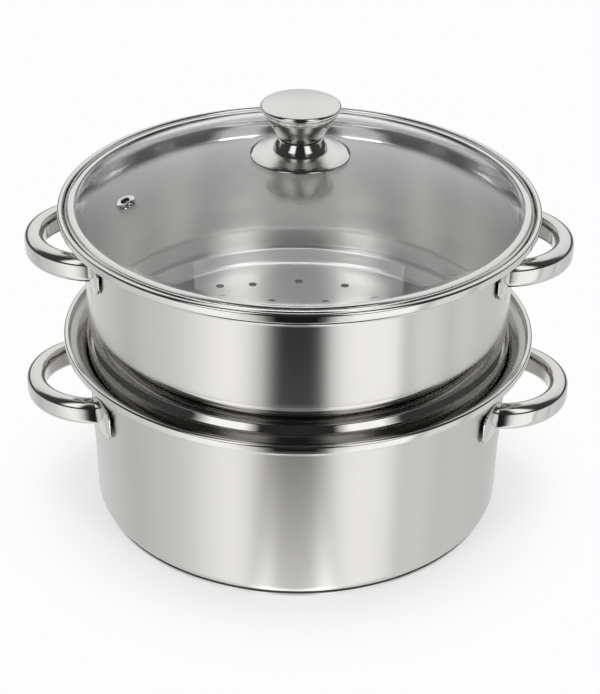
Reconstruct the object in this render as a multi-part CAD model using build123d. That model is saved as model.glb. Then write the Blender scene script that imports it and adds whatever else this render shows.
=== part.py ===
from build123d import *
from math import acos, asin, atan2, degrees, hypot, sqrt, tan
import os

# Steamer pot of 28 cm: a wide pot, a steamer that nests in its flared mouth, and a domed glass lid.
# Millimetres, +Z up. The origin is on the axis of the pot, on the plane that it stands on.
# The handles lie along X, and the front of the pot is towards -Y.

# Rolled and flared rim, pressed alike on the pot and on the steamer
sheet = 0.7                     # wall of the pot and of the steamer
rim_radius = 143.0              # outside of the roll
roll_width = 3.4
roll_height = 5.7
roll_bend = 1.6
roll_return = 2.1               # the edge turned in below the roll
ledge_width = 3.6               # flat seat for the lid, inside the roll
ledge_drop = 4.6                # from the top of the roll down to the seat
ledge_bend = 1.0
slope_width = 4.5               # slope from the seat down to the cove
slope_height = 4.0
slope_bend = 4.0
cove_width = 3.9                # steeper cove that runs down to the wall
cove_height = 5.9
cove_bend = 5.0

# Pot and its bonded base
pot_height = 117.2              # top of its rim
pot_taper = 2.3                 # the wall is this much narrower at the foot
pot_corner = 6.5                # bend between the floor and the wall
base_radius = 122.8
base_cap_sheet = 0.6
base_cap_wall = 1.7             # height of the turned-up edge
base_core_thickness = 1.6
base_core_edge = 0.8            # the cap's edge stands out this far past the core

# Steamer
steamer_height = 82.7           # from the rim of the pot to the rim of the steamer
steamer_taper = 0.5
wall_foot_height = 17.0         # where its straight wall ends, above the rim of the pot
wall_foot_bend = 30.0
waist_depth = 1.5               # the wall is drawn in by this much above the bead
waist_height = 3.0              # narrowest place, above the rim of the pot
waist_bend = 3.0
bead_drop = 1.0                 # top of the bead, below the rim of the pot
bead_bend = 2.0
shoulder_width = 1.5            # the bead is this much wider than the throat of the pot
shoulder_bend = 0.9
seat_gap = 0.3                  # running gap where one tier rests on another
spigot_clearance = 4.9          # between the spigot and the throat of the pot
spigot_depth = 10.2             # from the shoulder down to the floor
spigot_taper = 1.0
spigot_bend = 1.2
floor_corner = 3.0

# Steam holes: one ring per entry, in evenly spaced groups, and one hole in the middle of the floor
hole_diameter = 5.0
hole_ring_radii = (40.0, 67.5, 85.0, 93.5, 100.0)
hole_group_counts = (6, 12, 5, 5, 3)
holes_per_group_counts = (1, 1, 1, 3, 2)
hole_step_angles = (0.0, 0.0, 0.0, 19.0, 9.3)       # degrees, within a group
first_group_angles = (0.0, 15.0, 54.0, 90.0, 125.9)  # degrees, to the middle of the group

# Tubular handles and the lugs that carry them
handle_width = 11.5
handle_thickness = 15.9         # its height
handle_round = 3.8
handle_wall = 1.0
handle_loop_radius = 43.9       # outside of the loop
pot_handle_reach = 41.0         # from the throat radius to the outside of the loop
pot_handle_drop = 43.3          # middle of the handle, below the rim
steamer_handle_reach = 36.8
steamer_handle_drop = 28.4
lug_thickness = 1.2
lug_inner_length = 6.2          # from the middle of the tube to the lug's inner end
pot_lug_length = 31.2           # from the middle of the tube to the lug's free end
pot_lug_top = 15.2              # above the middle of the tube
pot_lug_foot = 3.2              # lower corner of the free end, below the middle of the tube
steamer_lug_length = 23.6
steamer_lug_top = 9.0
steamer_lug_foot = 7.0
lug_round = 4.5                 # corners of the free end
lug_inner_round = 2.0
plug_length = 7.0               # part of the lug that fills the end of the tube

# Lid
band_clearance = 0.4            # between the band and the roll of the rim
band_width = 6.0
band_height = 4.8
band_sheet = 0.6
band_bend = 1.2
band_under = 4.6                # width of the leg under the glass
glass_rise = 30.3               # from the flat edge to the crown
glass_edge_round = 6.0          # bend between the flat edge and the dome
glass_flat = 1.6                # flat edge that shows inside the band

# Steam vent
vent_inset = 26.6               # from the edge of the dome in to the vent
vent_angle = 198.0              # degrees
vent_radius = 5.8
vent_bore = 2.5
vent_tube_wall = 0.8
vent_head_height = 1.9
vent_head_round = 0.7
vent_foot_radius = 5.2
vent_foot_height = 1.0
vent_clearance = 0.4            # round its tube, in the hole of the glass
vent_gasket_thickness = 0.5
vent_gasket_edge = 0.5          # the gasket is this much smaller than the head

# Knob and the screw that holds it through the glass
knob_sheet = 0.8
knob_radius = 23.5
knob_crown = 0.9                # rise of the top from its edge to its middle
knob_edge_height = 3.9          # from the middle of the top to the underside of the edge
knob_edge_bend = 1.5
knob_lip = 2.0                  # turned in under the flange of the cup
knob_lip_bend = 1.0
cup_fit = 0.2                   # clearance round the cup inside the cap
cup_radius = 20.9
cup_depth = 19.2                # from the neck to the inside of the top
cup_cone_height = 13.6
cup_shoulder_bend = 2.5
cup_lip_bend = 0.4              # under its flange, clear of the cap's lip
cup_bend = 1.0
neck_radius = 12.9
neck_washer_thickness = 0.8
neck_washer_inset = 0.9
foot_radius = 16.1
foot_height = 7.2
foot_bend = 0.8
flange_radius = 29.4
flange_flat_radius = 24.0
flange_fall = 1.6               # from the flat down to the shoulder of its edge
flange_bend = 4.0
flange_edge_bend = 1.0
flange_gap = 0.9                # between its edge and the glass
gasket_radius = 22.0
gasket_thickness = 1.2
screw_radius = 2.0
screw_clearance = 0.5           # round the screw, in every sheet that it passes
screw_head_radius = 4.2
screw_head_height = 2.4
screw_head_round = 1.0
screw_end = 2.0                 # thread that stands out of the nut
thread_clearance = 0.05
nut_width = 8.0                 # across its flats
nut_height = 4.0
spacer_wall = 1.6
screw_washer_radius = 8.0
screw_washer_thickness = 1.0
screw_gasket_radius = 9.0
screw_gasket_thickness = 1.0

cut_overrun = 5.0               # cutters stand out this far

# Share of the half radius of the knob's top that the bend in its middle takes up
crown_bend_share = 0.8

# Heights and radii that several pieces share
throat_radius = rim_radius - roll_width - ledge_width - slope_width - cove_width
throat_drop = ledge_drop + slope_height + cove_height
pot_floor = base_cap_sheet + base_core_thickness
steamer_top = pot_height + steamer_height
band_bottom = steamer_top - ledge_drop + seat_gap
glass_thickness = band_height - 2 * band_sheet
glass_flat_top = band_bottom + band_height - band_sheet
band_radius = rim_radius - roll_width - band_clearance
dome_radius = band_radius - band_width - glass_flat
crown = glass_flat_top + glass_rise
glass_sphere = (dome_radius**2 + glass_rise**2) / (2 * glass_rise)
sphere_centre = crown - glass_sphere
vent_ring = dome_radius - vent_inset
screw_hole = screw_radius + screw_clearance
flange_top = crown + gasket_thickness + knob_sheet
neck_bottom = flange_top + foot_height
cup_bottom = neck_bottom + neck_washer_thickness
knob_top = cup_bottom + cup_depth + 2 * knob_sheet
lip_inside = knob_top - knob_edge_height + knob_sheet


def bent_sheet(points, bends, thickness):
    """Section of a bent sheet: one face follows the points, the other lies to their right."""
    points = [Vector(*point) for point in points]
    headings = [(end - start).normalized() for start, end in zip(points, points[1:])]
    rights = [Vector(heading.Y, -heading.X) for heading in headings]
    moved = [points[0] + rights[0] * thickness]
    for corner, before, after in zip(points[1:-1], rights, rights[1:]):
        moved.append(corner + (before + after) * (thickness / (1 + before.dot(after))))
    moved.append(points[-1] + rights[-1] * thickness)
    turns = [before.X * after.Y - before.Y * after.X for before, after in zip(headings, headings[1:])]
    moved_bends = [bend + thickness if turn > 0 else bend - thickness for bend, turn in zip(bends, turns)]
    face_line = FilletPolyline(*points, radius=bends)
    back_line = FilletPolyline(*moved, radius=moved_bends)
    ends = [Line(points[0], moved[0]), Line(points[-1], moved[-1])]
    return make_face([face_line, back_line, *ends])


def turned(section):
    """Round piece: a section drawn as radius and height, turned about the axis."""
    return revolve(Plane.XZ * section, Axis.Z)


def ring(outer_radius, inner_radius, bottom, top):
    """Flat round piece with a round hole."""
    middle = (bottom + top) / 2
    height = top - bottom
    return Pos(0, 0, middle) * (Cylinder(outer_radius, height) - Cylinder(inner_radius, height))


def rim_points(top):
    """Inside of the flared rim, from the throat up, over the roll and in below it."""
    throat = (throat_radius, top - throat_drop)
    cove = (throat_radius + cove_width, throat[1] + cove_height)
    ledge = (cove[0] + slope_width, top - ledge_drop)
    flank = rim_radius - roll_width
    under = top - roll_height
    roll = [(flank, ledge[1]), (flank, top), (rim_radius, top), (rim_radius, under)]
    return [throat, cove, ledge, *roll, (rim_radius - roll_return, under)]


rim_bends = [cove_bend, slope_bend, slope_bend, ledge_bend, roll_bend, roll_bend, ledge_bend]


def seat_height():
    """Height of the inside of the steamer's shoulder, whose bend rests on the cove of the pot."""
    run = hypot(cove_width, cove_height)
    shoulder_inside = throat_radius + shoulder_width - sheet
    centre_beyond_throat = shoulder_inside - shoulder_bend - throat_radius
    reach = shoulder_bend + sheet + seat_gap
    rise = (reach * run + centre_beyond_throat * cove_height) / cove_width
    return pot_height - throat_drop + rise - shoulder_bend


def wall_radius(bottom_radius, bottom, top, height):
    """Outside radius of a tapered wall at a height."""
    slope = (throat_radius - bottom_radius) / (top - bottom)
    return bottom_radius + slope * (height - bottom) + sheet * sqrt(1 + slope**2)


def pot_shell():
    """Drawn body of the pot: flat floor, rounded corner, tapered wall and flared rim."""
    floor = pot_floor + sheet
    line = [(0, floor), (throat_radius - pot_taper, floor), *rim_points(pot_height)]
    return turned(bent_sheet(line, [pot_corner, *rim_bends], sheet))


def base_core():
    """Aluminium disc bonded under the floor, which spreads the heat."""
    return ring(base_radius - base_core_edge, 0, base_cap_sheet, pot_floor)


def base_cap():
    """Steel dish pressed over the core; the pot stands on it."""
    outer = [(0, 0), (base_radius, 0), (base_radius, base_cap_wall)]
    inner_radius = base_radius - base_core_edge
    inner = [(inner_radius, base_cap_wall), (inner_radius, base_cap_sheet), (0, base_cap_sheet)]
    return turned(make_face(Polyline(*outer, *inner, close=True)))


def steamer_shell():
    """Steamer: flared rim, straight wall drawn in above a bead, and a spigot with a holed floor."""
    shoulder = seat_height()
    floor = shoulder - spigot_depth
    spigot = throat_radius - spigot_clearance - sheet
    bead = throat_radius + shoulder_width - sheet
    wall = throat_radius - steamer_taper
    line = [
        (0, floor),
        (spigot - spigot_taper, floor),
        (spigot, shoulder),
        (bead, shoulder),
        (bead, pot_height - bead_drop),
        (wall - waist_depth, pot_height + waist_height),
        (wall, pot_height + wall_foot_height),
        *rim_points(steamer_top),
    ]
    lower_bends = [floor_corner, spigot_bend, shoulder_bend, bead_bend, waist_bend, wall_foot_bend]
    shell = turned(bent_sheet(line, lower_bends + rim_bends, sheet))
    return shell - steam_holes(floor)


def steam_holes(floor):
    """Cutters for the holes in the floor of the steamer."""
    cutter = Cylinder(hole_diameter / 2, sheet + 2 * cut_overrun)
    places = [Pos(0, 0, floor)]
    rings = zip(hole_ring_radii, hole_group_counts, holes_per_group_counts, hole_step_angles, first_group_angles)
    for radius, groups, holes, step, first in rings:
        for group in range(groups):
            middle = first + group * 360 / groups
            for hole in range(holes):
                angle = middle + (hole - (holes - 1) / 2) * step
                places.append(Rot(0, 0, angle) * Pos(radius, 0, floor))
    return [place * cutter for place in places]


def loop_part(width, thickness, corner, first, last):
    """Bar of rounded section bent round a vertical axis, from one angle to another."""
    centre_line = handle_loop_radius - handle_width / 2
    section = Plane.XZ * (Pos(centre_line, 0) * RectangleRounded(width, thickness, corner))
    return Rot(0, 0, first) * revolve(section, Axis.Z, last - first)


def wall_plug(bottom_radius, bottom, top, middle, extra):
    """Solid inside of a tapered wall round the middle of a handle, made larger by an extra."""
    low = middle - handle_loop_radius
    high = middle + handle_loop_radius
    low_radius = wall_radius(bottom_radius, bottom, top, low) + extra
    high_radius = wall_radius(bottom_radius, bottom, top, high) + extra
    return Pos(0, 0, middle) * Cone(low_radius, high_radius, high - low)


def lug_outline(length, top, foot):
    """Plate seen square to the wall, with the middle of the tube at its origin: it tapers to its free end."""
    inner = -lug_inner_length
    half_tube = handle_thickness / 2
    corners = [(inner, top), (inner, -half_tube), (length, -foot), (length, top)]
    outline = make_face(Polyline(*corners, close=True))
    inner_corners = outline.vertices().sort_by(Axis.X)[:2]
    outline = fillet(inner_corners, lug_inner_round)
    free_corners = [outline.vertices().sort_by_distance(corner)[0] for corner in corners[2:]]
    return fillet(free_corners, lug_round)


def handle_set(bottom_radius, bottom, top, reach, middle, lug_length, lug_top, lug_foot):
    """Right-hand handle of a tier with its two lugs: the tube, the front lug and the rear lug."""
    wall = wall_radius(bottom_radius, bottom, top, middle)
    centre = throat_radius + reach - handle_loop_radius
    centre_line = handle_loop_radius - handle_width / 2
    meet_x = (wall**2 - centre_line**2 + centre**2) / (2 * centre)
    meet_angle = degrees(acos((meet_x - centre) / centre_line))
    tube_angle = degrees(acos(meet_x / wall))
    past_wall = degrees(handle_width / centre_line)
    place = Pos(centre, 0, middle)
    inside = wall_plug(bottom_radius, bottom, top, middle, 0)
    lug_face = wall_plug(bottom_radius, bottom, top, middle, lug_thickness)
    half_turn = meet_angle + past_wall
    bore_width = handle_width - 2 * handle_wall
    bore_thickness = handle_thickness - 2 * handle_wall
    bore_round = handle_round - handle_wall
    tube = loop_part(handle_width, handle_thickness, handle_round, -half_turn, half_turn)
    bore = loop_part(bore_width, bore_thickness, bore_round, -half_turn, half_turn)
    tube = place * (tube - bore) - lug_face
    plug_angle = degrees(plug_length / centre_line)
    plug = place * loop_part(bore_width, bore_thickness, bore_round, meet_angle - plug_angle, half_turn)
    lug_middle = (lug_length - lug_inner_length) / 2
    lug_angle = tube_angle + degrees(lug_middle / wall)
    outline = lug_outline(lug_length, lug_top, lug_foot)
    radial = Plane.YZ * (Pos(-lug_middle, 0) * outline)
    prism = Rot(0, 0, lug_angle) * Pos(wall, 0, middle) * extrude(radial, cut_overrun, both=True)
    rear_lug = (prism & lug_face) + plug - inside
    front_lug = mirror(rear_lug, Plane.XZ)
    return tube, front_lug, rear_lug


def add_handles(parts, tier, *size):
    """Puts the two handles of a tier and their four lugs among the parts."""
    tube, front_lug, rear_lug = handle_set(*size)
    parts[f"{tier}_handle_right"] = tube
    parts[f"{tier}_handle_right_front_lug"] = front_lug
    parts[f"{tier}_handle_right_rear_lug"] = rear_lug
    parts[f"{tier}_handle_left"] = mirror(tube, Plane.YZ)
    parts[f"{tier}_handle_left_front_lug"] = mirror(front_lug, Plane.YZ)
    parts[f"{tier}_handle_left_rear_lug"] = mirror(rear_lug, Plane.YZ)


def vent_place():
    """Place on the outside of the dome where the vent stands, square to the glass."""
    tilt = degrees(asin(vent_ring / glass_sphere))
    centre = Pos(0, 0, sphere_centre)
    return centre * Rot(0, 0, vent_angle) * Rot(0, tilt, 0) * Pos(0, 0, glass_sphere)


def dome(radius):
    """Ball that shares the centre of the glass dome."""
    return Pos(0, 0, sphere_centre) * Sphere(radius)


def lid_glass():
    """Toughened glass: a dome with a flat edge, holed for the knob screw and for the vent."""
    inner_sphere = glass_sphere - glass_thickness
    flat_under = glass_flat_top - glass_thickness
    inner_radius = sqrt(inner_sphere**2 - (flat_under - sphere_centre)**2)
    edge_radius = band_radius - band_sheet - (band_bend - band_sheet)
    lines = [
        RadiusArc((0, crown), (dome_radius, glass_flat_top), glass_sphere),
        Line((dome_radius, glass_flat_top), (edge_radius, glass_flat_top)),
        Line((edge_radius, glass_flat_top), (edge_radius, flat_under)),
        Line((edge_radius, flat_under), (inner_radius, flat_under)),
        RadiusArc((inner_radius, flat_under), (0, crown - glass_thickness), -inner_sphere),
        Line((0, crown - glass_thickness), (0, crown)),
    ]
    section = make_face(lines)
    for place in ((dome_radius, glass_flat_top), (inner_radius, flat_under)):
        corner = section.vertices().sort_by_distance(place)[0]
        section = fillet(corner, glass_edge_round)
    vent_hole = vent_bore + vent_tube_wall + vent_clearance
    vent_cutter = vent_place() * Cylinder(vent_hole, 2 * (glass_thickness + cut_overrun))
    screw_cutter = Pos(0, 0, crown) * Cylinder(screw_hole, 2 * (glass_thickness + cut_overrun))
    return turned(section) - vent_cutter - screw_cutter


def lid_band():
    """Steel channel rolled round the edge of the glass; its underside rests on the steamer."""
    top = band_bottom + band_height
    line = [
        (band_radius - band_width, top),
        (band_radius, top),
        (band_radius, band_bottom),
        (band_radius - band_under, band_bottom),
    ]
    return turned(bent_sheet(line, [band_bend, band_bend], band_sheet))


def vent_eyelet(glass):
    """Hollow rivet closed over both faces of the glass, which lets the steam out."""
    tube = vent_bore + vent_tube_wall
    head = vent_gasket_thickness + vent_head_height
    under = -glass_thickness
    foot = under - vent_foot_height
    section = make_face(Polyline(
        (vent_bore, foot), (vent_foot_radius, foot), (vent_foot_radius, under), (tube, under),
        (tube, vent_gasket_thickness), (vent_radius, vent_gasket_thickness),
        (vent_radius, head), (vent_bore, head), close=True))
    corners = [section.vertices().sort_by_distance((radius, head))[0] for radius in (vent_radius, vent_bore)]
    return vent_place() * turned(fillet(corners, vent_head_round)) - glass


def vent_gasket():
    """Thin seal between the head of the vent and the glass."""
    outer = vent_radius - vent_gasket_edge
    inner = vent_bore + vent_tube_wall
    seal = vent_place() * ring(outer, inner, -vent_gasket_thickness, vent_gasket_thickness)
    return seal - dome(glass_sphere)


def knob_cap():
    """Slightly crowned top of the knob, with its edge turned down and in under the cup's flange."""
    edge = knob_top - knob_edge_height
    half = knob_radius / 2
    crown_turn = atan2(knob_crown, half)
    crown_bend = crown_bend_share * half / tan(crown_turn / 2)
    line = [
        (0, knob_top),
        (half, knob_top),
        (knob_radius, knob_top - knob_crown),
        (knob_radius, edge),
        (knob_radius - knob_lip, edge),
    ]
    return turned(bent_sheet(line, [crown_bend, knob_edge_bend, knob_lip_bend], knob_sheet))


def knob_cup():
    """Conical cup under the top: its flange lies on the cap's lip, its floor on the neck."""
    flange = knob_radius - knob_sheet - cup_fit
    line = [
        (flange, lip_inside),
        (cup_radius, lip_inside),
        (cup_radius, cup_bottom + cup_cone_height),
        (neck_radius, cup_bottom),
        (screw_hole, cup_bottom),
    ]
    return turned(bent_sheet(line, [cup_lip_bend, cup_shoulder_bend, cup_bend], knob_sheet))


def knob_neck_washer():
    """Dark washer between the cup and the foot."""
    return ring(neck_radius - neck_washer_inset, screw_hole, neck_bottom, cup_bottom)


def knob_foot():
    """Conical foot that stands on the flange."""
    line = [(screw_hole, neck_bottom), (neck_radius, neck_bottom), (foot_radius, flange_top)]
    foot = turned(bent_sheet(line, [foot_bend + knob_sheet], knob_sheet))
    return foot - ring(foot_radius, 0, flange_top - cut_overrun, flange_top)


def knob_spacer():
    """Tube inside the foot, which takes the load of the screw."""
    return ring(screw_hole + spacer_wall, screw_hole, flange_top, neck_bottom - knob_sheet)


def knob_flange():
    """Wide round plate under the foot, with its edge drawn down over the glass."""
    glass_at_edge = sphere_centre + sqrt(glass_sphere**2 - flange_radius**2)
    line = [
        (screw_hole, flange_top),
        (flange_flat_radius, flange_top),
        (flange_radius, flange_top - flange_fall),
        (flange_radius, glass_at_edge + flange_gap),
    ]
    return turned(bent_sheet(line, [flange_bend, flange_edge_bend], knob_sheet))


def knob_gasket():
    """Seal between the flange and the crown of the glass."""
    return ring(gasket_radius, screw_hole, crown - gasket_thickness, crown + gasket_thickness) - dome(glass_sphere)


def screw_gasket():
    """Seal under the glass."""
    under = crown - glass_thickness
    seal = ring(screw_gasket_radius, screw_hole, under - screw_gasket_thickness, under)
    return seal & dome(glass_sphere - glass_thickness)


def screw_washer():
    """Steel washer that spreads the load of the screw head."""
    top = crown - glass_thickness - screw_gasket_thickness
    return ring(screw_washer_radius, screw_hole, top - screw_washer_thickness, top)


def knob_screw():
    """Pan-head screw that goes up through the glass and the knob."""
    seat = crown - glass_thickness - screw_gasket_thickness - screw_washer_thickness
    end = cup_bottom + knob_sheet + nut_height + screw_end
    head = ring(screw_head_radius, 0, seat - screw_head_height, seat)
    head = fillet(head.edges().sort_by(Axis.Z)[0], screw_head_round)
    return head + ring(screw_radius, 0, seat, end)


def knob_nut():
    """Hexagon nut on the floor of the cup."""
    bottom = cup_bottom + knob_sheet
    hexagon = RegularPolygon(nut_width / 2, 6, major_radius=False)
    body = Pos(0, 0, bottom) * extrude(hexagon, nut_height)
    return body - ring(screw_radius + thread_clearance, 0, bottom - cut_overrun, bottom + nut_height + cut_overrun)


def build_parts():
    """All pieces of the steamer pot, by name."""
    glass = lid_glass()
    parts = {
        "pot_shell": pot_shell(),
        "pot_base_core": base_core(),
        "pot_base_cap": base_cap(),
        "steamer_shell": steamer_shell(),
        "lid_glass": glass,
        "lid_rim_band": lid_band(),
        "lid_vent_eyelet": vent_eyelet(glass),
        "lid_vent_gasket": vent_gasket(),
        "knob_cap": knob_cap(),
        "knob_cup": knob_cup(),
        "knob_neck_washer": knob_neck_washer(),
        "knob_foot": knob_foot(),
        "knob_spacer": knob_spacer(),
        "knob_flange": knob_flange(),
        "knob_gasket": knob_gasket(),
        "knob_screw": knob_screw(),
        "knob_nut": knob_nut(),
        "knob_screw_gasket": screw_gasket(),
        "knob_screw_washer": screw_washer(),
    }
    pot_middle = pot_height - pot_handle_drop
    pot_wall = (throat_radius - pot_taper, pot_floor + sheet, pot_height - throat_drop)
    pot_lug = (pot_lug_length, pot_lug_top, pot_lug_foot)
    add_handles(parts, "pot", *pot_wall, pot_handle_reach, pot_middle, *pot_lug)
    steamer_middle = steamer_top - steamer_handle_drop
    steamer_wall = (throat_radius - steamer_taper, pot_height + wall_foot_height, steamer_top - throat_drop)
    steamer_lug = (steamer_lug_length, steamer_lug_top, steamer_lug_foot)
    add_handles(parts, "steamer", *steamer_wall, steamer_handle_reach, steamer_middle, *steamer_lug)
    return parts


os.makedirs("parts", exist_ok=True)
for name, piece in build_parts().items():
    piece.label = name
    export_step(piece, f"parts/{name}.step")
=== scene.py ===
from math import acos, asin, atan2, cos, degrees, hypot, pi, radians, sin, sqrt, tan

import bmesh
import bpy
from mathutils import Matrix, Vector


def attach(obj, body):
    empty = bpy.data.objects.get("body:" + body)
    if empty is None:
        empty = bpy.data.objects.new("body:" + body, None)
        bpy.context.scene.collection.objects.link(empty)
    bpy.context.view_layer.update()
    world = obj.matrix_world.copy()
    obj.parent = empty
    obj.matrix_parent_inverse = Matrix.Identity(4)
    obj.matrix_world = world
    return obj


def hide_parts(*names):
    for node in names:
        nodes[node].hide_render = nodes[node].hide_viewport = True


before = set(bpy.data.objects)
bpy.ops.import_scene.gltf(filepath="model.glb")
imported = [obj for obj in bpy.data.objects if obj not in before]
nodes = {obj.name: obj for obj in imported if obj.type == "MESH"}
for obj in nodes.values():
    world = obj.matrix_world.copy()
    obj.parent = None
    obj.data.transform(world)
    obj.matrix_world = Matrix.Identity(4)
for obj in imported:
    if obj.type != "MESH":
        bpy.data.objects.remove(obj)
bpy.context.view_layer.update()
mm = 0.001


# Camera: it looks down on the pot by about 30 degrees from the front, through a long lens.
# It is turned a little about its own axis, so that the upright lines lean as they do in the photograph.
camera_place = Vector((0.0013, -1.0196, 0.6840))
camera_aim = Vector((0.0013, 0, 0.09844))
camera_roll = radians(-0.74)
forward = (camera_aim - camera_place).normalized()
level_right = Vector((1, 0, 0))
level_up = level_right.cross(forward)
right = level_right * cos(camera_roll) - level_up * sin(camera_roll)
up = level_right * sin(camera_roll) + level_up * cos(camera_roll)
film_width, focal_pixels, image_height = 36, 1900, 694
lens = bpy.data.cameras.new("camera")
lens.sensor_fit = "AUTO"
lens.sensor_width = film_width
lens.lens = film_width * focal_pixels / image_height
camera = bpy.data.objects.new("camera", lens)
bpy.context.scene.collection.objects.link(camera)
turn = Matrix((right, up, -forward)).transposed().to_4x4()
camera.matrix_world = Matrix.Translation(camera_place) @ turn
bpy.context.scene.camera = camera
bpy.context.scene.view_settings.view_transform = "Standard"


# Table: a plain white top that runs out to the horizon, just under the pot. It is matt where it holds the
# soft shadow near the pot, and fades to clean white further out.
def linear(hex_value):
    """Linear colour of an sRGB hex value."""
    channels = [int(hex_value[i:i + 2], 16) / 255 for i in (0, 2, 4)]
    return (*[c / 12.92 if c <= 0.04045 else ((c + 0.055) / 1.055) ** 2.4 for c in channels], 1)


def add_node(tree, kind, links=None, inputs=None, **settings):
    """Adds a node to a tree with its settings and input values, and links its inputs."""
    node = tree.nodes.new(kind)
    for name, value in settings.items():
        setattr(node, name, value)
    for name, value in (inputs or {}).items():
        node.inputs[name].default_value = value
    for name, source in (links or {}).items():
        tree.links.new(source, node.inputs[name])
    return node


table_size, table_drop = 14, 0.3 * mm
shadow_near, shadow_far = 0.115, 0.2
bpy.ops.object.select_all(action="DESELECT")
bpy.ops.mesh.primitive_plane_add(size=table_size, location=(0, 0, 0))
table = bpy.context.object
table.name = "table_top"
bpy.ops.object.mode_set(mode="EDIT")
bpy.ops.transform.translate(value=(0, 0, -table_drop))
bpy.ops.object.mode_set(mode="OBJECT")
white_top = bpy.data.materials.new("white_table_top")
white_top.use_nodes = True
tree = white_top.node_tree
tree.nodes.clear()
spot = add_node(tree, "ShaderNodeTexCoord")
reach = add_node(tree, "ShaderNodeVectorMath", {0: spot.outputs["Object"]}, operation="LENGTH")
fade = add_node(tree, "ShaderNodeMapRange", {"Value": reach.outputs["Value"]},
                {"From Min": shadow_near, "From Max": shadow_far, "To Min": 0.5},
                interpolation_type="SMOOTHSTEP")
matt = add_node(tree, "ShaderNodeBsdfDiffuse", inputs={"Color": linear("fafafa")})
glow = add_node(tree, "ShaderNodeEmission", inputs={"Color": linear("fdfdfd"), "Strength": 1})
mixed = add_node(tree, "ShaderNodeMixShader",
                 {0: fade.outputs["Result"], 1: matt.outputs[0], 2: glow.outputs[0]})
add_node(tree, "ShaderNodeOutputMaterial", {"Surface": mixed.outputs[0]})
table.data.materials.append(white_top)


# Studio: a white room, with two tall softboxes at the sides of the camera and a dark gap between them.
# Steel sees it by direction alone: pale low down, dark along the horizon, above it the softboxes in front and
# a white wall behind, and dark overhead. The eye sees only clean white.
room_strength, even_strength, share_through_glass = 1.42, 0.7, 0.7
low_room = (
    (-180, 0.66), (-150, 0.62), (-135, 0.58), (-118, 0.57), (-108, 0.5), (-102, 0.5), (-94, 0.58),
    (-80, 0.62), (-70, 0.66), (-60, 0.76), (-50, 0.88), (-40, 0.97), (-30, 0.9), (-20, 0.58), (-14, 0.16),
    (-10, 0.01), (9, 0.01), (13, 0.12), (19, 0.68), (28, 0.94), (40, 0.97), (55, 0.97), (60, 0.55),
    (63, 0.55), (68, 0.72), (84, 0.67), (90, 0.5), (96, 0.66), (118, 0.57), (140, 0.54), (160, 0.6),
    (180, 0.66))
horizon = ((-180, 0.12), (-120, 0.05), (0, 0.02), (120, 0.05), (180, 0.12))
middle_room = (
    (-180, 0.78), (-118, 0.66), (-100, 0.05), (-56, 0.03), (-46, 1.0), (-28, 1.0), (-20, 0.02), (20, 0.02),
    (28, 1.0), (46, 1.0), (56, 0.03), (100, 0.05), (118, 0.66), (180, 0.78))
high_room = (
    (-180, 0.03), (-168, 0.03), (-148, 0.15), (-120, 0.15), (-96, 0.03), (-62, 0.03), (-48, 1.0),
    (-28, 1.0), (-18, 0.02), (18, 0.02), (28, 1.0), (48, 1.0), (62, 0.03), (96, 0.03), (120, 0.15),
    (148, 0.15), (168, 0.03), (180, 0.03))
ceiling = ((-180, 0.03), (0, 0.03), (180, 0.03))
room_levels = (
    (low_room, -90, -90), (horizon, -12, -5), (middle_room, 9, 15), (high_room, 54, 62), (ceiling, 64, 72))
studio = bpy.data.worlds.new("studio")
studio.use_nodes = True
bpy.context.scene.world = studio
tree = studio.node_tree
tree.nodes.clear()
rays = add_node(tree, "ShaderNodeLightPath")
spot = add_node(tree, "ShaderNodeTexCoord")
axes = add_node(tree, "ShaderNodeSeparateXYZ", {0: spot.outputs["Generated"]})
back = add_node(tree, "ShaderNodeMath", {0: axes.outputs["Y"]}, {1: -1}, operation="MULTIPLY")
angle = add_node(tree, "ShaderNodeMath", {0: axes.outputs["X"], 1: back.outputs[0]}, operation="ARCTAN2")
part_turn = add_node(tree, "ShaderNodeMath", {0: angle.outputs[0]}, {1: 2 * pi}, operation="DIVIDE")
place = add_node(tree, "ShaderNodeMath", {0: part_turn.outputs[0]}, {1: 0.5}, operation="ADD")
level = None
for stops, first, last in room_levels:
    shade = add_node(tree, "ShaderNodeValToRGB", {0: place.outputs[0]})
    ramp = shade.color_ramp
    ramp.elements[0].position, ramp.elements[1].position = 0, 1
    for degree, bright in stops[1:-1]:
        ramp.elements.new(degree / 360 + 0.5)
    for element, (degree, bright) in zip(ramp.elements, stops):
        element.color = (bright, bright, bright, 1)
    if level is None:
        level = shade.outputs[0]
        continue
    height = add_node(tree, "ShaderNodeMapRange", {"Value": axes.outputs["Z"]},
                      {"From Min": sin(radians(first)), "From Max": sin(radians(last))},
                      interpolation_type="SMOOTHSTEP")
    blend = add_node(tree, "ShaderNodeMixRGB",
                     {0: height.outputs["Result"], 1: level, 2: shade.outputs[0]})
    level = blend.outputs[0]
sky = add_node(tree, "ShaderNodeBackground", inputs={"Color": linear("fdfdfd"), "Strength": 1})
room = add_node(tree, "ShaderNodeBackground",
                inputs={"Color": linear("ffffff"), "Strength": even_strength})
walls = add_node(tree, "ShaderNodeBackground", {"Color": level}, {"Strength": room_strength})
through = add_node(tree, "ShaderNodeMath", {0: rays.outputs["Is Transmission Ray"]},
                   {1: share_through_glass}, operation="MULTIPLY")
share = add_node(tree, "ShaderNodeMath", {0: rays.outputs["Is Glossy Ray"], 1: through.outputs[0]},
                 operation="MAXIMUM")
shiny = add_node(tree, "ShaderNodeMixShader", {0: share.outputs[0], 1: room.outputs[0], 2: walls.outputs[0]})
seen = add_node(tree, "ShaderNodeMixShader",
                {0: rays.outputs["Is Camera Ray"], 1: shiny.outputs[0], 2: sky.outputs[0]})
add_node(tree, "ShaderNodeOutputWorld", {"Surface": seen.outputs[0]})
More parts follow.
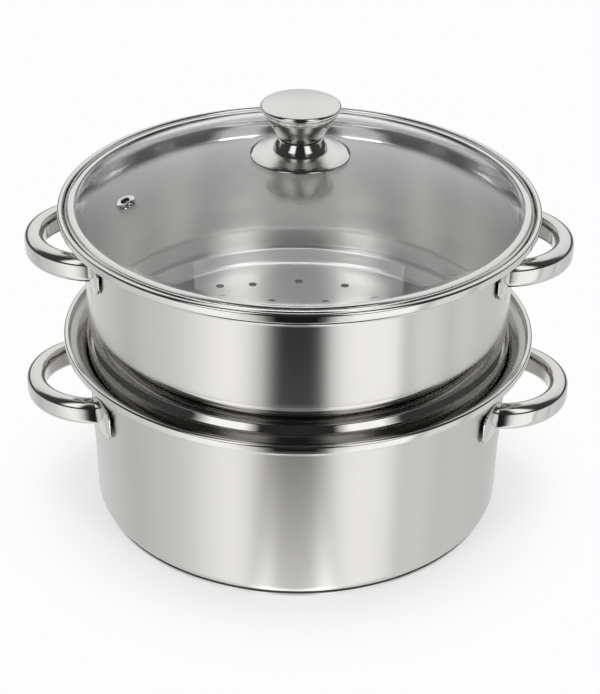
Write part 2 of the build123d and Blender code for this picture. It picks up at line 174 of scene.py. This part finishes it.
table.visible_glossy = False

# Pale patch of the table in front of the pot, which fills the foot of the dark gap. Only the steel sees it.
patch_inner, patch_outer, patch_height = 0.12, 0.4, 0.4 * mm
patch_side, patch_side_soft = radians(7), radians(14)
patch_near, patch_far, patch_strength = 0.127, 0.325, 0.9
bpy.ops.object.select_all(action="DESELECT")
bpy.ops.mesh.primitive_circle_add(vertices=64, radius=patch_outer, fill_type="NGON", location=(0, 0, 0))
patch = bpy.context.object
patch.name = "pale_patch"
bpy.ops.object.mode_set(mode="EDIT")
bpy.ops.mesh.inset(thickness=patch_outer - patch_inner)
bpy.ops.mesh.delete(type="FACE")
bpy.ops.mesh.select_all(action="SELECT")
bpy.ops.transform.translate(value=(0, 0, patch_height))
bpy.ops.object.mode_set(mode="OBJECT")
pale = bpy.data.materials.new("pale_patch")
pale.use_nodes = True
tree = pale.node_tree
tree.nodes.clear()
spot = add_node(tree, "ShaderNodeTexCoord")
axes = add_node(tree, "ShaderNodeSeparateXYZ", {0: spot.outputs["Object"]})
back = add_node(tree, "ShaderNodeMath", {0: axes.outputs["Y"]}, {1: -1}, operation="MULTIPLY")
angle = add_node(tree, "ShaderNodeMath", {0: axes.outputs["X"], 1: back.outputs[0]}, operation="ARCTAN2")
aside = add_node(tree, "ShaderNodeMath", {0: angle.outputs[0]}, operation="ABSOLUTE")
wedge = add_node(tree, "ShaderNodeMapRange", {"Value": aside.outputs[0]},
                 {"From Min": patch_side, "From Max": patch_side_soft, "To Min": 1, "To Max": 0},
                 interpolation_type="SMOOTHSTEP")
flat = add_node(tree, "ShaderNodeVectorMath", {0: spot.outputs["Object"]}, {1: (1, 1, 0)},
                operation="MULTIPLY")
reach = add_node(tree, "ShaderNodeVectorMath", {0: flat.outputs[0]}, operation="LENGTH")
near = add_node(tree, "ShaderNodeMapRange", {"Value": reach.outputs["Value"]},
                {"From Min": patch_near, "From Max": patch_far, "To Min": patch_strength, "To Max": 0})
lit = add_node(tree, "ShaderNodeMath", {0: wedge.outputs["Result"], 1: near.outputs["Result"]},
               operation="MULTIPLY")
glow = add_node(tree, "ShaderNodeEmission", {"Strength": lit.outputs[0]}, {"Color": linear("ffffff")})
clear = add_node(tree, "ShaderNodeBsdfTransparent")
both = add_node(tree, "ShaderNodeAddShader", {0: glow.outputs[0], 1: clear.outputs[0]})
add_node(tree, "ShaderNodeOutputMaterial", {"Surface": both.outputs[0]})
patch.data.materials.append(pale)
patch.visible_camera = False
patch.visible_diffuse = False
patch.visible_shadow = False
patch.visible_transmission = False

# Lamps: three soft area lamps that light the table, for the soft shadow of the pot. The steel mirrors none.
lamp_aim = Vector((0, 0, 0.12))
for name, lamp_place, size, power in (
    ("softbox_left", (-1.05, -1.45, 0.95), (0.7, 0.9), 8),
    ("softbox_right", (1.05, -1.45, 0.95), (0.7, 0.9), 8),
    ("softbox_top", (0, 0.3, 2.2), (1.6, 1.2), 16),
):
    lamp = bpy.data.lights.new(name, "AREA")
    lamp.shape = "RECTANGLE"
    lamp.size, lamp.size_y = size
    lamp.energy = power
    box = bpy.data.objects.new(name, lamp)
    bpy.context.scene.collection.objects.link(box)
    box.location = lamp_place
    box.rotation_euler = (lamp_aim - Vector(lamp_place)).to_track_quat("-Z", "Y").to_euler()
    box.visible_glossy = False


# Pot: a deep-drawn stainless steel shell. The sheet is bent out at the mouth into a ledge and rolled over
# into a smooth rim. The wall and floor are brushed to a satin and the rim is mirror polished. The ledge inside
# the rim is a little rougher, and its steel is painted darker as shade for the crevice under the steamer.
def bend_corners(piece, corners):
    """Rounds each corner (radius, height, bend) of the drawn line to its bend."""
    points = [Vector((radius, 0, height)) * mm for radius, height, bend in corners]
    lines = zip(points[-1:] + points, points, points[1:] + points[:1], corners)
    for before, corner, after, (_, _, bend) in lines:
        if not bend:
            continue
        turn = (corner - before).angle(after - corner)
        mesh = bmesh.from_edit_mesh(piece.data)
        for vertex in mesh.verts:
            vertex.select_set((vertex.co - corner).length < 1e-6)
        mesh.select_flush_mode()
        bmesh.update_edit_mesh(piece.data)
        steps = max(3, int(degrees(turn) / 8))
        bpy.ops.mesh.bevel(offset=bend * mm * tan(turn / 2), segments=steps, affect="VERTICES",
                           clamp_overlap=False)


def turn_line(piece, steps):
    """Turns the drawn line about the axis and joins the seam."""
    bpy.ops.mesh.select_all(action="SELECT")
    bpy.ops.mesh.spin(steps=steps, angle=2 * pi, center=(0, 0, 0), axis=(0, 0, 1))
    bpy.ops.mesh.select_all(action="SELECT")
    bpy.ops.mesh.remove_doubles(threshold=1e-6)
    bpy.ops.mesh.normals_make_consistent(inside=False)
    bpy.ops.object.mode_set(mode="OBJECT")


def start_line(name, corner):
    """One vertex at a corner of the line to be turned."""
    bpy.ops.object.select_all(action="DESELECT")
    bpy.ops.mesh.primitive_plane_add(size=1 * mm)
    piece = bpy.context.object
    piece.name = name
    bpy.ops.object.mode_set(mode="EDIT")
    bpy.ops.mesh.select_all(action="SELECT")
    bpy.ops.mesh.merge(type="CENTER")
    bpy.ops.transform.translate(value=(corner[0] * mm, 0, corner[1] * mm))
    return piece


def draw_line(name, corners, closed):
    """The line through the corners (radius, height, bend), with its corners rounded."""
    piece = start_line(name, corners[0])
    for start, end in zip(corners, corners[1:]):
        bpy.ops.mesh.extrude_region_move(TRANSFORM_OT_translate={
            "value": ((end[0] - start[0]) * mm, 0, (end[1] - start[1]) * mm)})
    if closed:
        bpy.ops.mesh.select_all(action="SELECT")
        bpy.ops.mesh.edge_face_add()
        bpy.ops.mesh.delete(type="ONLY_FACE")
    bend_corners(piece, corners)
    return piece


crease = radians(40)


def spun(name, corners, sheet=0, steps=192):
    """Turned piece. A sheet lies to the right of the corners' line; without one, the line closes."""
    piece = draw_line(name, corners, not sheet)
    turn_line(piece, steps)
    if sheet:
        start, end = [Vector((radius, 0, height)) * mm for radius, height, bend in corners[:2]]
        right_side = Vector((end.z - start.z, 0, start.x - end.x))
        first_face = min(piece.data.polygons, key=lambda face: (face.center - (start + end) / 2).length)
        bpy.ops.object.modifier_add(type="SOLIDIFY")
        wall = piece.modifiers[-1]
        wall.thickness = sheet * mm
        wall.offset = 1 if first_face.normal.dot(right_side) > 0 else -1
        wall.use_even_offset = True
        bpy.ops.object.modifier_apply(modifier=wall.name)
    bpy.ops.object.shade_smooth_by_angle(angle=crease)
    return piece


def one_colour(name, colour, metallic=0):
    """A new material of one colour: the material, its nodes and its shader."""
    material = bpy.data.materials.new(name)
    material.use_nodes = True
    tree = material.node_tree
    shader = tree.nodes["Principled BSDF"]
    shader.inputs["Base Color"].default_value = linear(colour)
    shader.inputs["Metallic"].default_value = metallic
    return material, tree, shader


def vary_roughness(tree, shader, pattern, low, high):
    """Lets the roughness of a surface drift between two values with a pattern."""
    drift = add_node(tree, "ShaderNodeMapRange", {"Value": pattern.outputs[0]},
                     {"To Min": low, "To Max": high})
    tree.links.new(drift.outputs[0], shader.inputs["Roughness"])


# Brush lines are finer than the eye can count, so they are drawn coarser here: 3 or 4 to the millimetre.
# The worn clouds in a brushed face and the waves in a buffed one are counted over 100 mm.
line_depth = 0.02 * mm
clouds, waves = 1.8 / (100 * mm), 6 / (100 * mm)


def brushed_steel(name, colour, roughness, lines_per_mm, depth, anisotropy):
    """Stainless steel brushed round the pot: highlights stretch up and down, and fine lines run round."""
    grain = lines_per_mm / mm
    material, tree, shader = one_colour(name, colour, metallic=1)
    shader.inputs["Anisotropic"].default_value = anisotropy
    shader.inputs["Anisotropic Rotation"].default_value = 0.25
    spot = add_node(tree, "ShaderNodeTexCoord")
    axes = add_node(tree, "ShaderNodeSeparateXYZ", {0: spot.outputs["Object"]})
    reach = add_node(tree, "ShaderNodeVectorMath", {0: spot.outputs["Object"]}, {1: (1, 1, 0)},
                     operation="MULTIPLY")
    radius = add_node(tree, "ShaderNodeVectorMath", {0: reach.outputs[0]}, operation="LENGTH")
    angle = add_node(tree, "ShaderNodeMath", {0: axes.outputs["Y"], 1: axes.outputs["X"]},
                     operation="ARCTAN2")
    line = add_node(tree, "ShaderNodeCombineXYZ", {"X": radius.outputs["Value"], "Z": axes.outputs["Z"]})
    scaled = add_node(tree, "ShaderNodeVectorMath", {0: line.outputs[0]}, {1: (grain, 1, grain)},
                      operation="MULTIPLY")
    drift = add_node(tree, "ShaderNodeCombineXYZ", {"Y": angle.outputs[0]})
    joined = add_node(tree, "ShaderNodeVectorMath", {0: scaled.outputs[0], 1: drift.outputs[0]},
                      operation="ADD")
    lines = add_node(tree, "ShaderNodeTexNoise", {"Vector": joined.outputs[0]}, {"Scale": 1, "Detail": 3})
    cloudy = add_node(tree, "ShaderNodeTexNoise", {"Vector": spot.outputs["Object"]},
                      {"Scale": clouds, "Detail": 2})
    vary_roughness(tree, shader, cloudy, roughness * 0.96, roughness * 1.04)
    bump = add_node(tree, "ShaderNodeBump", {"Height": lines.outputs[0]},
                    {"Strength": depth, "Distance": line_depth})
    tree.links.new(bump.outputs[0], shader.inputs["Normal"])
    around = add_node(tree, "ShaderNodeTangent", direction_type="RADIAL", axis="Z")
    tree.links.new(around.outputs[0], shader.inputs["Tangent"])
    return material


def polished_steel(name, colour, roughness):
    """Buffed stainless steel: clear dark and bright reflections, with the buffing wheel's faint waviness."""
    material, tree, shader = one_colour(name, colour, metallic=1)
    spot = add_node(tree, "ShaderNodeTexCoord")
    smear = add_node(tree, "ShaderNodeTexNoise", {"Vector": spot.outputs["Object"]},
                     {"Scale": waves, "Detail": 3})
    vary_roughness(tree, shader, smear, roughness * 0.6, roughness * 1.4)
    bump = add_node(tree, "ShaderNodeBump", {"Height": smear.outputs[0]},
                    {"Strength": 0.05, "Distance": line_depth})
    tree.links.new(bump.outputs[0], shader.inputs["Normal"])
    return material


rim_radius, shell_sheet = 143.0, 0.7
rim_corners = (
    (-15.4, -14.5, 5), (-11.5, -8.6, 4), (-7.0, -4.6, 4), (-3.4, -4.6, 1), (-3.2, 0, 1.6), (0, 0, 1.6),
    (0, -5.7, 1), (-2.1, -5.7, 0))
pot_top, pot_floor, pot_radius, pot_corner = 117.2, 2.9, 125.3, 6.5
pot_rim = [(rim_radius + dr, pot_top + dz, bend) for dr, dz, bend in rim_corners]
pot_wall_steel = brushed_steel(
    "satin_brushed_pot_steel", "cfcecc", roughness=0.26, lines_per_mm=4, depth=0.12, anisotropy=0.85)
rim_steel = polished_steel("mirror_polished_rim_steel", "d2d1cf", roughness=0.06)
pot = spun("pot_body", [(0, pot_floor, 0), (pot_radius, pot_floor, pot_corner), *pot_rim], shell_sheet,
           steps=256)
pot.data.materials.append(pot_wall_steel)
pot.data.materials.append(rim_steel)
# Painted shade: the ledge inside the rim gets a darker copy of the rim steel.
painted_shade_ledge_steel = polished_steel("ledge_steel_with_painted_shade", "a3a2a0", roughness=0.16)
pot.data.materials.append(painted_shade_ledge_steel)
flare_height, roll_width = 15, 3.5
# Near the top, the upward faces inside the roll take the painted-shade ledge steel, and the rest take the rim
# steel.
for face in pot.data.polygons:
    inside_roll = hypot(face.center.x, face.center.y) < (rim_radius - roll_width) * mm
    if face.center.z > (pot_top - flare_height) * mm:
        face.material_index = 2 if inside_roll and face.normal.z > 0.05 else 1
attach(pot, "pot")
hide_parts("pot_shell")

# Base: an aluminium disc that spreads the heat, bonded under the pot and closed by a thin steel dish.
# Only the thin dark line between the dish and the pot shows, with the dull edge of the aluminium behind it.
base = spun("base_dish", [
    (0, 0, 0), (122.8, 0, 0.5), (122.8, 1.7, 0.2), (122.0, 1.7, 0), (122.0, 0.6, 0), (0, 0.6, 0)])
base.data.materials.append(pot_wall_steel)
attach(base, "pot")
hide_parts("pot_base_cap")


def mottled(name, colour, metallic, specks_per_cm, detail, low, high):
    """Dull material of one colour, whose roughness drifts between two values from speck to speck."""
    material, tree, shader = one_colour(name, colour, metallic)
    spot = add_node(tree, "ShaderNodeTexCoord")
    specks = add_node(tree, "ShaderNodeTexNoise", {"Vector": spot.outputs["Object"]},
                      {"Scale": specks_per_cm / (10 * mm), "Detail": detail})
    vary_roughness(tree, shader, specks, low, high)
    return material


def coat(names, material):
    """Puts a material on pieces that are shown in the shape they came in."""
    for name in names:
        for slot in nodes[name].material_slots:
            slot.material = material


core_metal = mottled("dull_aluminium_core", "6f7072", metallic=1, specks_per_cm=3, detail=4, low=0.45, high=0.65)
coat(["pot_base_core"], core_metal)


# Steamer: drawn like the pot, with the same rim. Its wall is drawn in a little above a bead, and below it a
# narrower spigot dips into the pot. The wall is brushed, the rim, waist and bead are polished, and the inside
# is a paler satin.
steamer_top = 199.9
steamer_rim = [(rim_radius + dr, steamer_top + dz, bend) for dr, dz, bend in rim_corners]
steamer_wall_steel = brushed_steel(
    "fine_brushed_steamer_steel", "cfcecc", roughness=0.2, lines_per_mm=4, depth=0.1, anisotropy=0.8)
shoulder = 105.09
steamer_floor = shoulder - 10.2
steamer = spun("steamer_body", [
    (0, steamer_floor, 0), (121.0, steamer_floor, 3), (122.0, shoulder, 1.2), (128.4, shoulder, 0.9),
    (128.4, 116.2, 2), (125.6, 120.2, 3), (127.1, 134.2, 30), *steamer_rim], shell_sheet, steps=256)
steamer.data.materials.append(steamer_wall_steel)
steamer.data.materials.append(rim_steel)
inside_steel = brushed_steel(
    "satin_steel_inside", "e6e5e3", roughness=0.34, lines_per_mm=3, depth=0.1, anisotropy=0.5)
steamer.data.materials.append(inside_steel)
waist_top = 131.0
for face in steamer.data.polygons:
    height = face.center.z / mm
    out_and_down = Vector((face.center.x, face.center.y, -20 * mm))
    faces_out = face.normal.dot(out_and_down) > 0
    if height > steamer_top - flare_height or shoulder - 1 < height < waist_top and faces_out:
        face.material_index = 1
    elif not faces_out:
        face.material_index = 2

# Steam holes: rows of plain round holes, punched through the floor from above with one tool of many pins.
hole_radius, hole_depth = 2.7, 6
hole_rows = ((40.0, 6, 1, 0, 0), (67.5, 12, 1, 0, 15), (85.0, 5, 1, 0, 54), (93.5, 5, 3, 19, 90),
             (100.0, 3, 2, 9.3, 125.9))
hole_places = [(0, 0)]
for radius, groups, holes, step, first in hole_rows:
    for group in range(groups):
        for hole in range(holes):
            angle = radians(first + group * 360 / groups + (hole - (holes - 1) / 2) * step)
            hole_places.append((radius * cos(angle), radius * sin(angle)))
bpy.ops.object.select_all(action="DESELECT")
bpy.ops.mesh.primitive_cylinder_add(vertices=32, radius=hole_radius * mm, depth=hole_depth * mm,
                                    location=(0, 0, 0))
punch = bpy.context.object
punch.name = "hole_punch"
bpy.ops.object.mode_set(mode="EDIT")
bpy.ops.mesh.select_all(action="SELECT")
bpy.ops.transform.translate(value=(hole_places[0][0] * mm, hole_places[0][1] * mm, steamer_floor * mm))
for (x0, y0), (x1, y1) in zip(hole_places, hole_places[1:]):
    bpy.ops.mesh.duplicate_move(TRANSFORM_OT_translate={"value": ((x1 - x0) * mm, (y1 - y0) * mm, 0)})
bpy.ops.object.mode_set(mode="OBJECT")


def cut_away(piece, cutter):
    """Cuts a closed shape out of a piece and removes the shape."""
    bpy.ops.object.select_all(action="DESELECT")
    piece.select_set(True)
    bpy.context.view_layer.objects.active = piece
    bpy.ops.object.modifier_add(type="BOOLEAN")
    cut = piece.modifiers[-1]
    cut.operation = "DIFFERENCE"
    cut.solver = "EXACT"
    cut.object = cutter
    bpy.ops.object.modifier_apply(modifier=cut.name)
    bpy.data.objects.remove(cutter)


cut_away(steamer, punch)
bpy.ops.object.shade_smooth_by_angle(angle=crease)
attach(steamer, "steamer")
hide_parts("steamer_shell")


# Handles: steel tube pressed to a flat-sided section, bent into a loop and polished, so that it mirrors the
# room a little softly. The four loops are alike, and each is cut to the curve of its lugs.
tube_width, tube_height, tube_round, loop_radius = 11.5, 15.9, 5.0, 43.9
throat, pot_reach, pot_drop, steamer_reach, steamer_drop = 127.6, 41.0, 43.3, 36.8, 28.4
tiers = {
    "pot": {
        "centre": throat + pot_reach - loop_radius, "middle": pot_top - pot_drop, "wall": 127.66,
        "taper": 2.3 / 99.8},
    "steamer": {
        "centre": throat + steamer_reach - loop_radius, "middle": steamer_top - steamer_drop,
        "wall": 128.18, "taper": 0.5 / 51.2},
}
lug_sheet, tube_overlap, cutter_height = 1.2, 0.1, 40
loop_line = loop_radius - tube_width / 2
handle_steel = polished_steel("polished_handle_steel", "cfcecc", roughness=0.12)
inner, outer, half = loop_radius - tube_width, loop_radius, tube_height / 2
half_turn = radians(112)
loop = draw_line("handle_loop", [
    (inner, -half, tube_round), (outer, -half, tube_round), (outer, half, tube_round),
    (inner, half, tube_round)], True)
bpy.ops.mesh.select_all(action="SELECT")
bpy.ops.mesh.spin(steps=96, angle=2 * half_turn, center=(0, 0, 0), axis=(0, 0, 1))
bpy.ops.mesh.edge_face_add()
mesh = bmesh.from_edit_mesh(loop.data)
for vertex in mesh.verts:
    vertex.select_set(abs(vertex.co.y) < 1e-6 and vertex.co.x > 0)
mesh.select_flush_mode()
bmesh.update_edit_mesh(loop.data)
bpy.ops.mesh.edge_face_add()
bpy.ops.mesh.select_all(action="SELECT")
bpy.ops.mesh.normals_make_consistent(inside=False)
bpy.ops.object.mode_set(mode="OBJECT")


def place_piece(piece, matrix):
    """Moves a finished mesh to its place and leaves the object at the origin."""
    piece.matrix_world = matrix
    bpy.ops.object.select_all(action="DESELECT")
    piece.select_set(True)
    bpy.context.view_layer.objects.active = piece
    bpy.ops.object.transform_apply(location=True, rotation=True, scale=True)
    bpy.ops.object.mode_set(mode="EDIT")
    bpy.ops.mesh.select_all(action="SELECT")
    bpy.ops.mesh.normals_make_consistent(inside=False)
    bpy.ops.object.mode_set(mode="OBJECT")


def copy_piece(piece, name):
    """A copy with a mesh of its own."""
    twin = piece.copy()
    twin.data = piece.data.copy()
    twin.name = name
    bpy.context.scene.collection.objects.link(twin)
    return twin


for tier, size in tiers.items():
    for side, mirror in (("right", 1), ("left", -1)):
        tube = copy_piece(loop, f"{tier}_loop_{side}")
        place_piece(tube, Matrix.Diagonal((mirror, 1, 1, 1)) @ Matrix.Translation(
            Vector((size["centre"], 0, size["middle"])) * mm) @ Matrix.Rotation(half_turn, 4, "Z"))
        bpy.ops.object.select_all(action="DESELECT")
        bpy.ops.mesh.primitive_cylinder_add(
            vertices=256, radius=(size["wall"] + lug_sheet - tube_overlap) * mm, depth=cutter_height * mm,
            location=(0, 0, size["middle"] * mm))
        cut_away(tube, bpy.context.object)
        bpy.ops.object.shade_smooth_by_angle(angle=crease)
        tube.data.materials.append(handle_steel)
        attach(tube, tier)
        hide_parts(f"{tier}_handle_{side}")
bpy.data.objects.remove(loop)

# Lugs: pressed steel plates, spot-welded flat to the wall, that carry the ends of the tubes. Each widens
# towards the tube and has a raised middle. The pot's are longer than the steamer's.
lug_corners = {
    "pot": [(-6.2, -7.95, 2), (31.2, -3.2, 4.5), (31.2, 15.2, 4.5), (-6.2, 15.2, 2)],
    "steamer": [(-6.2, -7.95, 2), (23.6, -7.0, 4.5), (23.6, 9.0, 4.5), (-6.2, 9.0, 2)],
}
lug_edge_round, lug_bends, raised_steps = 0.45, 16, ((2.3, 0), (0.9, 0.4))
for tier, corners in lug_corners.items():
    size = tiers[tier]
    plate = draw_line(f"{tier}_lug", corners, True)
    bpy.ops.mesh.select_all(action="SELECT")
    bpy.ops.mesh.edge_face_add()
    bpy.ops.mesh.extrude_region_move(TRANSFORM_OT_translate={"value": (0, -lug_sheet * mm, 0)})
    bpy.ops.mesh.bevel(offset=lug_edge_round * mm, segments=3, affect="EDGES", clamp_overlap=False)
    for thickness, depth in raised_steps:
        mesh = bmesh.from_edit_mesh(plate.data)
        front_face = max((face for face in mesh.faces if face.normal.y < -0.9 or face.normal.y > 0.9),
                         key=lambda face: (-round(face.calc_center_median().y / mm, 3), face.calc_area()))
        for face in mesh.faces:
            face.select_set(face == front_face)
        mesh.select_flush_mode()
        bmesh.update_edit_mesh(plate.data)
        bpy.ops.mesh.inset(thickness=thickness * mm, depth=depth * mm)
    length = corners[1][0] - corners[0][0]
    for step in range(1, lug_bends):
        fold = corners[0][0] + length * step / lug_bends
        bpy.ops.mesh.select_all(action="SELECT")
        bpy.ops.mesh.bisect(plane_co=(fold * mm, 0, 0), plane_no=(1, 0, 0))
    bpy.ops.object.mode_set(mode="OBJECT")
    place_piece(plate, Matrix.Rotation(atan2(size["taper"], 1), 4, "X"))
    bpy.ops.object.modifier_add(type="SIMPLE_DEFORM")
    bend = plate.modifiers[-1]
    bend.deform_method = "BEND"
    bend.deform_axis = "Z"
    bend.angle = length / size["wall"]
    bpy.ops.object.modifier_apply(modifier=bend.name)
    bpy.ops.object.shade_smooth_by_angle(angle=crease)
    plate.data.materials.append(handle_steel)
    meet = (size["wall"] ** 2 - loop_line ** 2 + size["centre"] ** 2) / (2 * size["centre"])
    tube_angle = acos(meet / size["wall"])
    stand = Matrix.Rotation(pi / 2 + tube_angle, 4, "Z") @ Matrix.Translation(
        Vector((0, -size["wall"], size["middle"])) * mm)
    for side, mirror_x in (("right", 1), ("left", -1)):
        for end, mirror_y in (("rear", 1), ("front", -1)):
            lug = copy_piece(plate, f"{tier}_lug_{side}_{end}")
            place_piece(lug, Matrix.Diagonal((mirror_x, mirror_y, 1, 1)) @ stand)
            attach(lug, tier)
            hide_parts(f"{tier}_handle_{side}_{end}_lug")
    bpy.data.objects.remove(plate)


# Lid glass: clear toughened glass 3.6 mm thick, pressed to a dome with a flat edge, and drilled for the vent.
# It has hardly any colour, and shows by its sharp reflections and the line where the dome meets the edge.
crown, dome_radius, flat_top, glass_sheet, glass_edge, glass_bend = 230.1, 131.6, 199.8, 3.6, 138.0, 1.3
sphere = (dome_radius ** 2 + (crown - flat_top) ** 2) / (2 * (crown - flat_top))
sphere_middle = crown - sphere
under_sphere = sphere - glass_sheet
under_edge = sqrt(under_sphere ** 2 - (flat_top - glass_sheet - sphere_middle) ** 2)
glass = start_line("domed_glass", (0, crown))
bpy.ops.mesh.spin(steps=64, angle=-asin(dome_radius / sphere), center=(0, 0, sphere_middle * mm),
                  axis=(0, 1, 0))
for across, rise in ((glass_edge - dome_radius, 0), (0, -glass_sheet), (under_edge - glass_edge, 0)):
    bpy.ops.mesh.extrude_region_move(TRANSFORM_OT_translate={"value": (across * mm, 0, rise * mm)})
bpy.ops.mesh.spin(steps=64, angle=asin(under_edge / under_sphere), center=(0, 0, sphere_middle * mm),
                  axis=(0, 1, 0))
for corner_radius, corner_height in ((dome_radius, flat_top), (under_edge, flat_top - glass_sheet)):
    mesh = bmesh.from_edit_mesh(glass.data)
    corner = Vector((corner_radius, 0, corner_height)) * mm
    for vertex in mesh.verts:
        vertex.select_set((vertex.co - corner).length < 1e-5)
    mesh.select_flush_mode()
    bmesh.update_edit_mesh(glass.data)
    bpy.ops.mesh.bevel(offset=glass_bend * mm, segments=5, affect="VERTICES", clamp_overlap=False)
turn_line(glass, 192)
drill_radius, drill_length, vent_bearing, vent_inset = 3.7, 30, 198, 26.6
bpy.ops.object.select_all(action="DESELECT")
bpy.ops.mesh.primitive_cylinder_add(vertices=48, radius=drill_radius * mm, depth=drill_length * mm)
drill = bpy.context.object
vent_lean = asin((dome_radius - vent_inset) / sphere)
vent_turn = Matrix.Rotation(radians(vent_bearing), 4, "Z") @ Matrix.Rotation(vent_lean, 4, "Y")
dome_centre = Matrix.Translation((0, 0, sphere_middle * mm))
vent_place = dome_centre @ vent_turn @ Matrix.Translation((0, 0, sphere * mm))
place_piece(drill, vent_place)
cut_away(glass, drill)
glass_crease = radians(30)
bpy.ops.object.shade_smooth_by_angle(angle=glass_crease)
clear_glass, _, shader = one_colour("clear_toughened_glass", "fbfdfd")
shader.inputs["Roughness"].default_value = 0
shader.inputs["IOR"].default_value = 1.5
shader.inputs["Transmission Weight"].default_value = 1
glass.data.materials.append(clear_glass)
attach(glass, "lid")
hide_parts("lid_glass")

# Rim band: a thin strip of mirror-polished steel rolled round the edge of the glass. Its top slopes down
# outwards, and its underside is flat.
band_sheet = 0.6
band = spun("rim_band", [
    (133.2, 200.2, 0), (135.0, 200.4, 3), (138.9, 199.0, 2.0), (138.9, 195.6, 1.2), (134.6, 195.6, 0)],
    band_sheet, steps=256)
band.data.materials.append(rim_steel)
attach(band, "lid")
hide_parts("lid_rim_band")

# Vent: a hollow rivet of polished steel, closed over both faces of the glass. It stands on a thin seal of
# moulded rubber, which is matt and nearly black.
vent = spun("vent_rivet", [
    (2.5, -4.3, 0), (4.1, -4.3, 0.3), (4.1, -3.6, 0), (3.3, -3.6, 0), (3.3, 0.5, 0), (5.8, 0.5, 0.3),
    (5.8, 1.5, 0.7), (4.6, 2.0, 0.8), (2.5, 1.6, 0.5)], steps=64)
place_piece(vent, vent_place)
vent.data.materials.append(rim_steel)
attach(vent, "lid")
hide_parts("lid_vent_eyelet")
seal_rubber = mottled("dark_seal_rubber", "2a2a2b", metallic=0, specks_per_cm=9, detail=3, low=0.55, high=0.75)
coat(["lid_vent_gasket", "knob_gasket", "knob_screw_gasket"], seal_rubber)


# Knob top: a thin steel cap, slightly crowned and brushed to a satin. Its edge is polished bright and turned
# in under the lip of the cup.
knob_top, knob_radius, knob_sheet, bright_edge = 260.9, 23.5, 0.8, 0.9
cap = spun("knob_top_cap", [
    (0, knob_top, 0), (knob_radius / 2, knob_top, 246), (knob_radius, knob_top - 0.9, 1.5),
    (knob_radius, knob_top - 3.9, 1.0), (knob_radius - 2, knob_top - 3.9, 0)], knob_sheet)
cap_steel = brushed_steel(
    "satin_knob_steel", "d6d5d3", roughness=0.3, lines_per_mm=3, depth=0.1, anisotropy=0.3)
knob_steel = polished_steel("mirror_polished_knob_steel", "cfcecc", roughness=0.05)
cap.data.materials.append(cap_steel)
cap.data.materials.append(knob_steel)
for face in cap.data.polygons:
    face.material_index = int(hypot(face.center.x, face.center.y) > (knob_radius - bright_edge) * mm)
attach(cap, "lid")
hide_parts("knob_cap")

# Knob cup: a mirror-polished cone that the fingers hold, spun from sheet. It stands on a washer at the neck,
# which is coloured nearly black with a faint sheen and draws the dark line there.
cup = spun("knob_cone", [
    (22.5, 257.8, 0), (20.9, 257.8, 0.4), (20.9, 253.7, 2.5), (12.9, 240.1, 1.0), (2.5, 240.1, 0)],
    knob_sheet)
cup.data.materials.append(knob_steel)
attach(cup, "lid")
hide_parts("knob_cup")
# The neck washer is coloured nearly black, to draw the dark line between the cup and the foot.
near_black_washer = mottled("near_black_neck_washer", "1d1d1f", metallic=0, specks_per_cm=7, detail=2, low=0.35, high=0.5)
coat(["knob_neck_washer"], near_black_washer)

# Knob foot: a short polished cone, pressed from sheet with slightly bulging sides. It stands on the flange,
# under the washer.
foot = spun("knob_foot_cone", [
    (2.5, 239.3, 0), (12.9, 239.3, 1.0), (15.0, 235.7, 6), (16.1, 232.1, 0)], knob_sheet)
foot.data.materials.append(knob_steel)
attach(foot, "lid")
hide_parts("knob_foot")

# Knob flange: a wide steel plate that spreads the pull of the screw over the glass, with its edge drawn down.
# Its flat is brushed to a satin, and the edge round it is mirror polished.
flange_sheet, flange_flat = 0.7, 25.5
flange = spun("knob_flange_plate", [
    (2.5, 232.1, 0), (20.5, 232.1, 16), (27.4, 230.8, 3.5), (29.4, 229.4, 0.7), (29.4, 229.0, 0)],
    flange_sheet)
flange.data.materials.append(cap_steel)
flange.data.materials.append(knob_steel)
for face in flange.data.polygons:
    face.material_index = int(hypot(face.center.x, face.center.y) > flange_flat * mm)
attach(flange, "lid")
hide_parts("knob_flange")

# Screw, nut, washer and spacer: plain steel hardware that clamps the knob through the glass. It is not
# polished, so it looks a soft grey.
plain_steel = polished_steel("plain_hardware_steel", "b9b8b6", roughness=0.3)
coat(["knob_screw", "knob_nut", "knob_screw_washer", "knob_spacer"], plain_steel)
